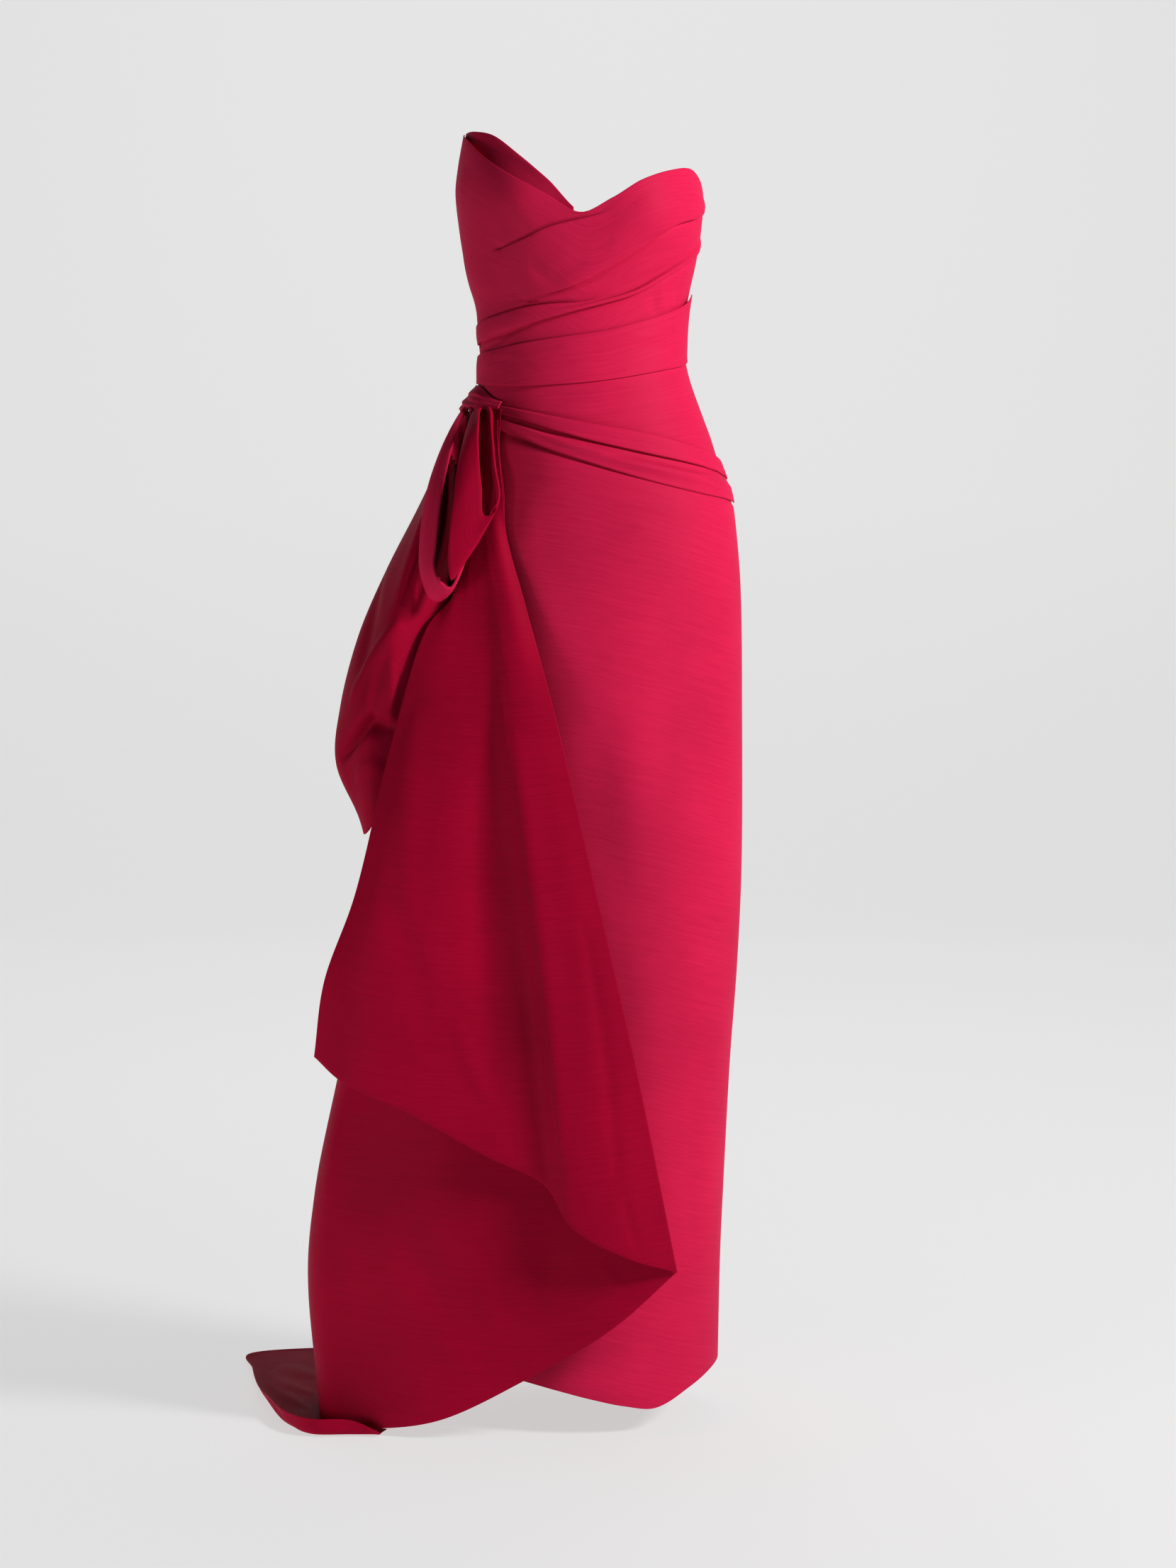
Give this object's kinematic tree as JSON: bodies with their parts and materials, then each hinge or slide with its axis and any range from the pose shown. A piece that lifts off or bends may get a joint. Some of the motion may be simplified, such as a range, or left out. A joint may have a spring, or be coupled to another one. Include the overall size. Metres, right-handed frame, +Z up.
{
  "type": "evening gown",
  "caption": "Strapless column evening gown with an asymmetric sweetheart neckline, a draped waist, a hip bow, a folded cascade, a side pouf and a floor train.",
  "frame": {"origin": "middle of the waist, where the wearer holds the gown; the floor is 1.215 m below it", "axes": "+Z up, +Y towards the back, +X towards the wearer's left side"},
  "size_m": [0.6034, 0.511, 1.477],
  "materials": {
    "faille": "crosswise rib, soft satin sheen",
    "zip_metal": "satin enamel"
  },
  "bodies": {
    "gown": {"bodice_front": "faille", "bodice_inner_cup": "faille", "bodice_back_left": "faille", "bodice_back_right": "faille", "waistband": "faille", "hip_yoke": "faille", "skirt_front": "faille", "skirt_back_left": "faille", "skirt_back_right": "faille", "wrap_panel": "faille", "cascade_panel": "faille", "side_drape": "faille", "train": "faille", "loop_small": "faille", "loop_large": "faille", "hip_gather": "faille", "zip_chain": "faille", "zip_slider": "zip_metal"},
    "pull_tab": {"zip_pull": "zip_metal"}
  },
  "joints": [
    {"name": "zip_pull_hinge", "type": "hinge", "parent": "gown", "child": "pull_tab", "pos_m": [-0.00303, 0.08855, 0.157], "axis": [1, 0, 0], "range_deg": [0, 150]}
  ]
}
